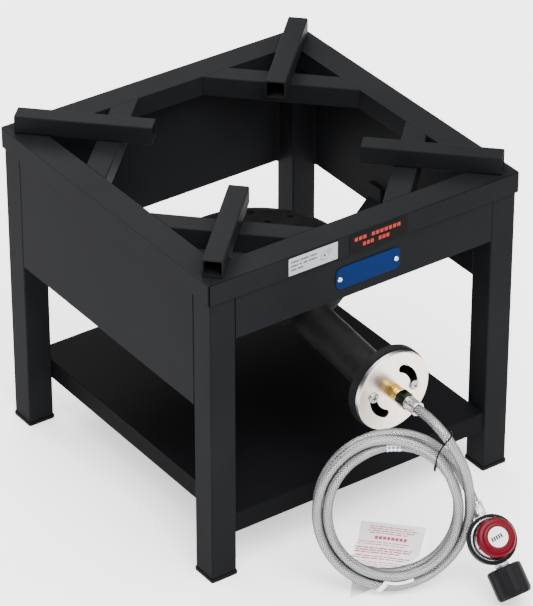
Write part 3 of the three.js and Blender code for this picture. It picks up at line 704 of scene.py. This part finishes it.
stem = lathe("inlet_stem_turned", [
    (2.5, 30.3), (9, 30.3), (9, 33), (8, 33.3), (8, 50), (5, 54), (5, 60), (2.5, 60),
], INLET, 64, 0.4)
settle(stem, ZINC, ["inlet_stem"])


hand_nut_profile = [
    (8.1, 34.2, 0), (8.5, 34.0, 0), (15.5, 34.0, 0), (18.4, 34.5, 0), (20.3, 35.4, 0.3), (21.3, 36.8, 0.8),
    (21.5, 38.5, 1), (21.5, 52, 1), (21.5, 66, 1), (21.2, 68.4, 0.9), (20.4, 70.2, 0.5), (19.4, 71.4, 0),
    (18.4, 71.9, 0), (14.2, 71.9, 0), (13.4, 71.2, 0),
]
THREADS, THREAD_PITCH = 9, 3.2
for k in range(THREADS):
    crest = 70 - k * THREAD_PITCH
    hand_nut_profile += [(12.6, crest, 0), (13.4, crest - THREAD_PITCH / 2, 0)]
hand_nut_profile += [(13.0, 39.4, 0), (8.1, 39.0, 0)]
hand_nut = lobed("hand_nut_moulded", hand_nut_profile, 8, 0.3, 1.5, INLET)
settle(hand_nut, BLACK_PLASTIC, ["acme_nut"], "hand_nut", angle=50)


# ---- flat shapes ----------------------------------------------------
def outline_rounded(x0, x1, y0, y1, corner, steps=6):
    """A rectangle with round corners."""
    out = []
    for cx, cy, a0 in ((x1 - corner, y1 - corner, 0), (x0 + corner, y1 - corner, 90),
                       (x0 + corner, y0 + corner, 180), (x1 - corner, y0 + corner, 270)):
        for k in range(steps + 1):
            a = math.radians(a0 + 90 * k / steps)
            out.append((cx + corner * math.cos(a), cy + corner * math.sin(a)))
    return out


def slab(name, box, y, thick, material, node, corner):
    """A thin upright plate with rounded corners on the front; box is x0, x1, z0, z1."""
    made = prisms(name, [outline_rounded(*box, corner)], 0, thick, outward(0, y, 0))
    soften_edges(made.data, min(0.25, thick * 0.4), angle=50)
    settle(made, material, [node])


def marks(name, outlines, z0, z1, matrix, material, body="stand"):
    """Upright prisms as one piece with its finish: printed marks, weld beads, and dark crosses laid in screw
    recesses as painted shade.
    """
    settle(prisms(name, outlines, z0, z1, matrix), material, body=body)


def block_row(x0, x1, y, height, pitch, gap, breaks=()):
    """A row of small plain blocks, with a space at each break."""
    out = []
    for k in range(int((x1 - x0) / pitch)):
        if k in breaks:
            continue
        a = x0 + k * pitch
        out.append([(a, y), (a + pitch - gap, y), (a + pitch - gap, y + height), (a, y + height)])
    return out


def polar(cx, cy, r, a):
    return (cx + r * math.cos(a), cy + r * math.sin(a))


def ring_outline(cx, cy, r, width):
    """Short wedges that make a thin printed circle."""
    turns = [2 * math.pi * k / 40 for k in range(41)]
    return [
        [polar(cx, cy, q, t) for q, t in ((r, a), (r, b), (r - width, b), (r - width, a))]
        for a, b in zip(turns, turns[1:])
    ]


def disc_outline(cx, cy, r):
    return [[polar(cx, cy, r, 2 * math.pi * k / 24) for k in range(24)]]


# ---- air shutter, its screws and the knob's label -------------------
def kidney(r, half, start, end):
    """A curved slot at radius r, half wide each way, from start to end in degrees."""
    steps = 18
    out = []
    for k in range(steps + 1):
        a = math.radians(start + (end - start) * k / steps)
        out.append(((r + half) * math.cos(a), (r + half) * math.sin(a)))
    for centre, turn in ((end, end), (start, start + 180)):
        c = math.radians(centre)
        for k in range(1, 10):
            a = math.radians(turn + 18 * k)
            out.append((r * math.cos(c) + half * math.cos(a), r * math.sin(c) + half * math.sin(a)))
        if centre == end:
            for k in range(steps + 1):
                a = math.radians(end + (start - end) * k / steps)
                out.append(((r - half) * math.cos(a), (r - half) * math.sin(a)))
    return out


def half_turn(outline):
    return [(-x, -y) for x, y in outline]


face = lathe("shutter_face", [
    (8.09, 275), (50.2, 275), (50.2, 276.9), (49.9, 277), (8.09, 277),
], MOUTH, 128, 0.25)
slot_outline = kidney(SLOT_R, SLOT_HALF, SLOT_START, SLOT_END)
boolean(face, [prisms("slot_cut", [q], 272, 280, MOUTH) for q in (slot_outline, half_turn(slot_outline))])
soften_edges(face.data, 0.25, angle=60)
settle(face, NICKEL, ["air_shutter"], "shutter")
skirt = lathe("shutter_skirt", [
    (49.2, 270), (50.9, 270), (51, 270.4), (51, 275.7), (50.7, 276.5), (50.2, 276.9), (49.8, 276.7),
    (49.2, 274),
], MOUTH, 128, 0.3)
settle(skirt, CHROME, body="shutter")

SCREW_X = SLOT_R * math.cos(math.radians(SLOT_START))
SCREW_Y = SLOT_R * math.sin(math.radians(SLOT_START))
for side, sign in (("right", 1), ("left", -1)):
    at = MOUTH @ Vector((sign * SCREW_X, sign * SCREW_Y, 0))
    turn = Matrix.Rotation(math.radians(32 if sign > 0 else 14), 3, "Y")
    frame_here = basis(turn @ Vector((1, 0, 0)), turn @ Vector((0, 0, 1)), (0, -1, 0), at)
    screw = lathe("pan_screw_" + side, [
        (0, 262), (2.5, 262), (2.5, 277.3), (6.5, 277.3), (6.5, 278.4), (6.0, 279.4), (4.6, 280.0),
        (0, 280.2),
    ], frame_here, 56, 0.45, closed=False)
    bars = [outline_rounded(-3.5, 3.5, -0.75, 0.75, 0.3, 2), outline_rounded(-0.75, 0.75, -3.5, 3.5, 0.3, 2)]
    boolean(screw, [prisms("cross_cut", [q], 278.6, 282, frame_here) for q in bars])
    settle(screw, ZINC, ["shutter_screw_" + side])
    # A thin dark cross in the bottom of each cross recess: painted shade.
    marks("screw_recess_painted_shade_" + side, bars, 278.5, 278.75, frame_here, INK_AND_SHADE)

disc_line = [(0, 26.1), (12.2, 26.1), (12.2, 26.45), (0, 26.5)]
knob_disc = lathe("knob_disc", disc_line, REG, 64, 0.1, closed=False)
settle(knob_disc, DIAL_WHITE, ["knob_label"], "knob")
turned_reg = REG @ Matrix.Rotation(math.radians(95), 4, "Z")
knob_blocks = block_row(-9.0, 9.0, -2.6, 5.2, 3.05, 0.9)
marks("knob_marks", knob_blocks, 26.44, 26.53, turned_reg, INK_AND_SHADE, "knob")


# ---- burner casting -------------------------------------------------
BAR_Y = 50.0
TUBE_START = -236.0
TUBE_END = -104.0
TUBE_RISE = 17.0
tube_axis = Vector((0, TUBE_END - TUBE_START, TUBE_RISE)).normalized()
tube_up = Vector((1, 0, 0)).cross(tube_axis)
tube_frame = basis((1, 0, 0), tube_up, tube_axis, point(0, TUBE_START, BURNER_Z))
tube_length = math.hypot(TUBE_END - TUBE_START, TUBE_RISE)
bowl = lathe("burner_bowl", [
    (4, 216.3), (84, 216.3), (108, 226), (115, 238), (115, 262), (109, 262), (109, 239), (103, 229),
    (82, 221.3), (10, 221.3), (4, 221.3),
], PLAIN, 120, 1.2)
THROAT_R = BURNER_TUBE_R - 4
throat = lathe("burner_throat", [
    (BURNER_TUBE_R, -4), (BURNER_TUBE_R, tube_length), (THROAT_R, tube_length), (THROAT_R, -4),
], tube_frame, 72, 0)
TUBE_ROOM = BURNER_TUBE_R - 3.9
boolean(bowl, [lathe(
    "throat_room", [(0, -4), (TUBE_ROOM, -4), (TUBE_ROOM, 200), (0, 200)], tube_frame, 72, 0, closed=False,
)])
bell = lathe("burner_bell", [
    (THROAT_R, 229), (BURNER_TUBE_R - 1, 243), (36, 257), (47.6, 264), (47.6, 269.6), (52.8, 269.6),
    (52.8, 259), (38, 252), (BURNER_TUBE_R + 3, 242), (BURNER_TUBE_R, 230),
], MOUTH, 128, 1.2)
web = lathe("burner_web", [(8.3, 270.5), (48.6, 270.5), (48.6, 274.7), (8.3, 274.7)], MOUTH, 96, 0.2)
window = kidney(SLOT_R, SLOT_HALF + 1, 14, SLOT_END)
boolean(web, [prisms("window_cut", [q], 262, 282, MOUTH) for q in (window, half_turn(window))])
hub = lathe("burner_hub", [(8.3, 262), (13, 262), (13, 271), (8.3, 271)], MOUTH, 64, 0.6)
rim = lathe("burner_rim", [(46.6, 264), (48.6, 264), (48.6, 271), (46.6, 271)], MOUTH, 96, 0.2)
for cast in (throat, bell, web, hub, rim):
    settle(cast, CAST)
for end, y in (("front", -BAR_Y), ("back", BAR_Y)):
    line = [(3.4, 218), (8, 218), (8, 226.6), (6.8, 228.3), (3.4, 228.3)]
    boss = lathe("burner_boss_" + end, line, upright(0, y), 40, 0.5)
    settle(boss, CAST)
settle(bowl, CAST, ["burner_body"])

cap = lathe("burner_head", [
    (3.5, 269.8), (12, 269.8), (60, 269), (104, 265), (104, 262.4), (114.8, 262.4), (115, 266), (104, 270),
    (60, 274), (3.5, 275),
], PLAIN, 120, 0.8)
port_outlines = []
for r, count, port in ((94, 12, 4), (70, 8, 4), (40, 4, 4)):
    for k in range(count):
        a = 2 * math.pi * k / count
        port_outlines += disc_outline(r * math.cos(a), r * math.sin(a), port)
boolean(cap, [prisms("port_cut", port_outlines, 250, 290, PLAIN)])
settle(cap, CAST, ["burner_cap"])


def hex_bolt(name, y, low, head, top, node, nut_ends=None):
    """A bolt with a hexagonal head from low to low + head and a shank that reaches top."""
    here = upright(0, y)
    settle(hex_nut(name + "_head", 9.6, low, low + head, here, 0.5), ZINC)
    line = [(0, low + 0.4), (2.9, low + 0.4), (2.9, top - 0.6), (2.4, top), (0, top)]
    settle(lathe(name, line, here, 32, 0.2, closed=False), ZINC, [node])
    if nut_ends:
        settle(hex_nut(name + "_nut", 10.2, *nut_ends, here, 0.5), ZINC)


hex_bolt("burner_bolt", 0, 212, 4, 279.9, "burner_centre_bolt", (275.3, 279))
hex_bolt("bar_bolt_front", -BAR_Y, 208.2, 3.5, 225.2, "crossbar_bolt_front")
hex_bolt("bar_bolt_back", BAR_Y, 208.2, 3.5, 225.2, "crossbar_bolt_back")

# ---- plates, stickers and their marks -------------------------------
LABEL_Y = FRONT_Y - 0.3
MARK_Y = FRONT_Y - 0.6
LABEL_Z = (390.5, 413.5)
slab("sticker_white_base", (-113, -44, *LABEL_Z), LABEL_Y, 0.3, WHITE, "sticker_white", 0.8)
marks(
    "sticker_white_lines",
    block_row(-109.5, -72, 406.6, 2.2, 1.9, 0.5, (6, 13))
    + block_row(-109.5, -72, 401.4, 2.2, 1.9, 0.5, (5, 8, 12))
    + block_row(-109.5, -91, 396.2, 2.2, 1.9, 0.5, (4,))
    + ring_outline(-62.5, 401.5, 5.6, 0.4) + disc_outline(-62.5, 401.5, 1.4)
    + ring_outline(-55.8, 405.8, 3.2, 0.35) + disc_outline(-55.8, 405.8, 0.8)
    + disc_outline(-67.4, 397.2, 0.7),
    -0.02, 0.05, outward(0, MARK_Y, 0), INK_AND_SHADE,
)
slab(
    "sticker_black_base", (-27, 56, *LABEL_Z), LABEL_Y, 0.3, BLACK_LABEL, "sticker_black", 0.8,
)
marks(
    "sticker_black_lines",
    block_row(-20, 47.5, 404.2, 5.0, 6.1, 1.5, (3,)) + block_row(-8, 35, 395.2, 5.0, 5.6, 1.4, (3,)),
    -0.02, 0.05, outward(0, MARK_Y, 0), RED_INK,
)
PLATE_BACK = PANEL_Y - 0.3
slab("emblem_plate_blue", (-44, 48, 345, 374), PLATE_BACK, 1.0, BLUE, "emblem_plate", 8.0)
for side, x in (("left", -39), ("right", 42)):
    dome = lathe("rivet_dome_" + side, [
        (0, -3.6), (2.8, -3.6), (2.8, -2.6), (1.5, -2.6), (1.5, 1.6), (3.4, 1.6), (3.3, 2.2), (2.4, 3.1),
        (1.2, 3.5), (0.9, 3.0), (0, 2.9),
    ], outward(x, PANEL_Y, 359), 40, 0.25, closed=False)
    settle(dome, STEEL, ["rivet_" + side])


# ---- leaflet, strap, sleeve and tie ---------------------------------
LEAFLET = [(-1, -219), (-106, -338), (-50, -338), (13, -317), (54.6, -277)]
LEAFLET_U = Vector((0.692, -0.722))
LEAFLET_V = Vector((-0.722, -0.692))


def leaflet_height(x, y):
    """The sheet's small waves above the floor, in millimetres."""
    return 0.9 + 0.4 * math.sin(x / 17.0 + y / 23.0) + 0.25 * math.sin(x / 9.0 - y / 13.0)


def draped_sheet(name, outlines, lift, thick):
    """Flat outlines cut into a grid and laid over the leaflet's waves."""
    bm = bmesh.new()
    for outline in outlines:
        bm.faces.new([bm.verts.new((x, y, 0)) for x, y in outline])
    xs = [x for outline in outlines for x, _ in outline]
    ys = [y for outline in outlines for _, y in outline]
    cell = 9.0
    for axis, low, high in ((0, min(xs), max(xs)), (1, min(ys), max(ys))):
        value = low + cell
        while value < high:
            at, normal = [0, 0, 0], [0, 0, 0]
            at[axis], normal[axis] = value, 1
            whole = bm.verts[:] + bm.edges[:] + bm.faces[:]
            bmesh.ops.bisect_plane(bm, geom=whole, plane_co=at, plane_no=normal)
            value += cell
    made = bmesh.ops.extrude_face_region(bm, geom=bm.faces[:])
    for v in (g for g in made["geom"] if isinstance(g, bmesh.types.BMVert)):
        v.co.z = thick
    for v in bm.verts:
        v.co.z += leaflet_height(v.co.x, v.co.y) + lift
        v.co = point(*v.co)
    bmesh.ops.recalc_face_normals(bm, faces=bm.faces)
    mesh = bpy.data.meshes.new(name)
    bm.to_mesh(mesh)
    bm.free()
    return linked(name, mesh)


def leaflet_rows():
    """Rows of plain word-length bars; each row is its distance down the sheet, height, start and end."""
    rows = [
        (8, 1.8, 12, 66), (12.5, 1.8, 13, 72), (17, 1.8, 12, 68), (21.5, 1.8, 14, 60), (40, 1.5, 4, 66),
        (44.5, 1.5, 2, 60), (51.5, 2.2, 1, 72), (56, 2.2, 3, 70), (60.5, 2.2, 2, 58), (68, 2.0, 3, 70),
        (72.5, 2.0, 1, 64), (80, 1.4, 4, 70), (84.5, 1.4, 2, 66), (89, 1.4, 5, 48),
    ]
    out = []
    for r, (down, height, start, end) in enumerate(rows):
        at, k = start, r
        while at < end:
            length = (5.5, 8.5, 3.5, 7.0, 10.0)[k % 5]
            out.append((down, height, at, min(at + length, end)))
            at += length + 1.3
            k += 2
    out += [(28.5, 6.2, 22 + 5.0 * k, 22 + 5.0 * k + 3.9) for k in range(8)]
    origin = Vector(LEAFLET[0])
    quads = []
    for down, height, a, b in out:
        corners = ((a, down), (b, down), (b, down + height), (a, down + height))
        quads.append([tuple(origin + LEAFLET_U * u + LEAFLET_V * v) for u, v in corners])
    return quads


paper = draped_sheet("leaflet_sheet", [LEAFLET], 0.0, 0.28)
settle(paper, PAPER, ["hang_tag"], even=False)
rows = draped_sheet("leaflet_rows", leaflet_rows(), 0.26, 0.1)
settle(rows, ROSE_INK, even=False)


def loop_path(points, step):
    """A closed smooth path through the points, starting and ending at the first."""
    ring = [points[-1]] + list(points) + [points[0], points[1]]
    line = smoothed(ring)
    return resampled(line[CURVE_STEPS:len(line) - CURVE_STEPS], step)[0]


tie_points = [
    (66.4, 102.0, 7.9), (64.8, 100.6, 12.8), (61.0, 97.4, 15.0), (56.5, 91.0, 14.6), (52.2, 82.5, 14.0),
    (49.0, 73.0, 14.0), (48.3, 62.0, 12.6), (48.0, 54.5, 6.5), (47.6, 52.5, -3.0), (49.5, 57.0, -12.0),
    (55.0, 72.0, -17.0), (61.5, 88.0, -16.5), (66.0, 99.0, -7.0),
]
TIE_STEP, TIE_R = 0.0015, 0.0008
tie = tube_mesh("wire_tie", loop_path([RING @ Vector(q) for q in tie_points], TIE_STEP), TIE_R, 10, "tie")
settle(tie, RUBBER, ["coil_tie"], even=False)


def swept_band(name, path, profile, matrix):
    """A closed outline carried along a closed path in one plane; profile is across, along the axis."""
    points, faces = [], []
    count, sides = len(path), len(profile)
    for i, centre in enumerate(path):
        ahead = Vector(path[(i + 1) % count]) - Vector(path[i - 1])
        out = Vector((ahead.y, -ahead.x)).normalized()
        for across, along in profile:
            points.append((centre[0] + out.x * across, centre[1] + out.y * across, along))
    for i in range(count):
        for k in range(sides):
            m, j = (k + 1) % sides, (i + 1) % count
            faces.append((i * sides + k, i * sides + m, j * sides + m, j * sides + k))
    return from_faces(name, points, faces, matrix)


# The strap wraps the lowest outer strand at a slant, and its tail lies in the groove between the strands.
STRAP_AT = math.radians(-98)
strap_mid = RING @ Vector((88.3 * math.cos(STRAP_AT), 88.3 * COIL_RISE * math.sin(STRAP_AT), 6.0))
strap_tangent = (RING_U * COIL_RISE * math.cos(STRAP_AT) - RING_R * math.sin(STRAP_AT)).normalized()
strap_tangent = (Matrix.Rotation(math.radians(-34), 3, RING_N) @ strap_tangent).normalized()
strap_out = strap_tangent.cross(RING_N).normalized()
strap_frame = basis(strap_out, RING_N, strap_out.cross(RING_N), strap_mid)
strap_path = outline_rounded(-7.6, 7.6, -6.5, 6.5, 5.0)
strap_section = [(-0.2, -2.8), (0.2, -2.8), (0.2, 2.8), (-0.2, 2.8)]
strap = swept_band("leaflet_strap", strap_path, strap_section, strap_frame)
settle(strap, PAPER, ["tag_strap"])
tail_points, tail_faces = [], []
for k in range(25):
    t = math.radians(-96 + k)
    for r, n in ((80.4, 9.9), (83.6, 10.7), (83.6, 11.1), (80.4, 10.3)):
        r_here = r + 1.2 * math.sin(k / 24 * math.pi)
        tail_points.append((r_here * math.cos(t), r_here * COIL_RISE * math.sin(t), n))
    if k:
        for i in range(4):
            j = (i + 1) % 4
            tail_faces.append((4 * k - 4 + i, 4 * k - 4 + j, 4 * k + j, 4 * k + i))
tail_faces += [(3, 2, 1, 0), (96, 97, 98, 99)]
settle(from_faces("leaflet_strap_tail", tail_points, tail_faces, RING), PAPER)

hose_line = np.array(hose_path)
sleeve_at = RING @ Vector((0, 76.2 * COIL_RISE, 6.2))
nearest = int(np.argmin(np.linalg.norm(hose_line - np.array(tuple(sleeve_at)), axis=1)))
sleeve_line = resampled(hose_line[nearest - 3:nearest + 4], 0.0015)[0]
SLEEVE_R = 0.00635
sleeve = tube_mesh("sleeve_wrap", sleeve_line, SLEEVE_R, 40, "sleeve")
settle(sleeve, SLEEVE, ["sleeve_label"], even=False)

# ---- powder-coated steel --------------------------------------------
FOLD, SHEET_FOLD, LEG_FOLD, CAP_FOLD, TRAY_FOLD = 1.7, 0.5, 0.6, 0.9, 2.2
for side in ("front", "right", "back", "left"):
    softened("top_rail_" + side, POWDER, FOLD, cuts=[(1, 1, 0), (1, -1, 0)])
    softened("panel_" + side, POWDER, SHEET_FOLD)
for corner in ("front_right", "back_right", "back_left", "front_left"):
    diagonal = (1, -1, 0) if corner in ("front_right", "back_left") else (1, 1, 0)
    softened("corner_brace_" + corner, POWDER, FOLD, cuts=[(1, 0, 0), (0, 1, 0)])
    softened("pot_support_" + corner, POWDER, FOLD, cuts=[diagonal])
    softened("leg_" + corner, POWDER, LEG_FOLD, cuts=[(0, 0, 1)])
    softened("foot_cap_" + corner, RUBBER, CAP_FOLD)
# The tray takes the darker copy of the powder coat, as painted shade.
softened("shelf_tray", POWDER_SHADED_SHELF, TRAY_FOLD)
for side in ("front", "back"):
    softened("crossbar_" + side, POWDER, SHEET_FOLD)

# Weld beads in the inner corners where the panels meet the legs.
LEG_IN, PANEL_IN, BEAD, BEAD_TOP = 184.5, 217.5, 4.0, 388.2
corner_beads = {
    (sx, sy, face): [
        (sx * a, sy * b) if face == "side" else (sx * b, sy * a)
        for a, b in ((PANEL_IN, LEG_IN), (PANEL_IN, LEG_IN - BEAD), (PANEL_IN - BEAD, LEG_IN))
    ]
    for sx in (-1, 1) for sy in (-1, 1) for face in ("side", "end")
}
short = [bead for (_, sy, face), bead in corner_beads.items() if sy < 0 and face == "end"]
long = [bead for bead in corner_beads.values() if bead not in short]
marks("panel_welds_front", short, 331.6, BEAD_TOP, PLAIN, POWDER)
marks("panel_welds_deep", long, 235.2, BEAD_TOP, PLAIN, POWDER)

# ---- remaining CAD nodes: materials only ----------------------------
for name, material in (("regulator_spring", STEEL), ("diaphragm", RUBBER)):
    mesh = NODES[name].data
    for i in range(len(mesh.materials)):
        mesh.materials[i] = material

# ---- floor and light ------------------------------------------------
FLOOR_HALF, FLOOR_GLOW = 9, 0.9
floor_mesh = bpy.data.meshes.new("floor")
floor_mesh.from_pydata([
    (x * FLOOR_HALF, y * FLOOR_HALF, 0) for x, y in ((-1, -1), (1, -1), (1, 1), (-1, 1))
], [], [(0, 1, 2, 3)])
floor_mesh.materials.append(Nodes("pale_floor").set(
    colour=(0.93, 0.93, 0.93), rough=0.9, specular=0.1, glow=(1, 1, 1), glow_strength=FLOOR_GLOW,
))
floor = linked("floor", floor_mesh)

world = bpy.data.worlds.new("studio")
world.use_nodes = True
tree = world.node_tree
where = tree.nodes.new("ShaderNodeTexCoord")
height = tree.nodes.new("ShaderNodeSeparateXYZ")
shade = tree.nodes.new("ShaderNodeValToRGB")
tree.links.new(where.outputs["Generated"], height.inputs[0])
tree.links.new(height.outputs["Z"], shade.inputs["Fac"])
tree.links.new(shade.outputs["Color"], tree.nodes["Background"].inputs["Color"])
stops = shade.color_ramp.elements
HORIZON, OVERHEAD, SKY_STRENGTH = 0.30, 0.62, 2.6
stops[0].position, stops[0].color = HORIZON, (0.10, 0.10, 0.105, 1)
stops[1].position, stops[1].color = OVERHEAD, (1, 1, 1, 1)
tree.nodes["Background"].inputs["Strength"].default_value = SKY_STRENGTH
bpy.context.scene.world = world


def area_light(name, at, aim, size, power):
    """A rectangular light at a place in metres, aimed at another."""
    data = bpy.data.lights.new(name, "AREA")
    data.shape = "RECTANGLE"
    data.size, data.size_y = size
    data.energy = power
    made = bpy.data.objects.new(name, data)
    bpy.context.scene.collection.objects.link(made)
    made.location = at
    made.rotation_euler = (Vector(aim) - Vector(at)).to_track_quat("-Z", "Y").to_euler()


area_light("key", (-0.4, -1.7, 2.9), (0, 0, 0.2), (2.0, 2.0), 150)
area_light("fill", (2.4, -1.6, 1.6), (0, 0, 0.2), (1.6, 2.0), 28)
area_light("back", (0.4, 2.6, 2.2), (0, 0, 0.3), (2.4, 1.2), 90)
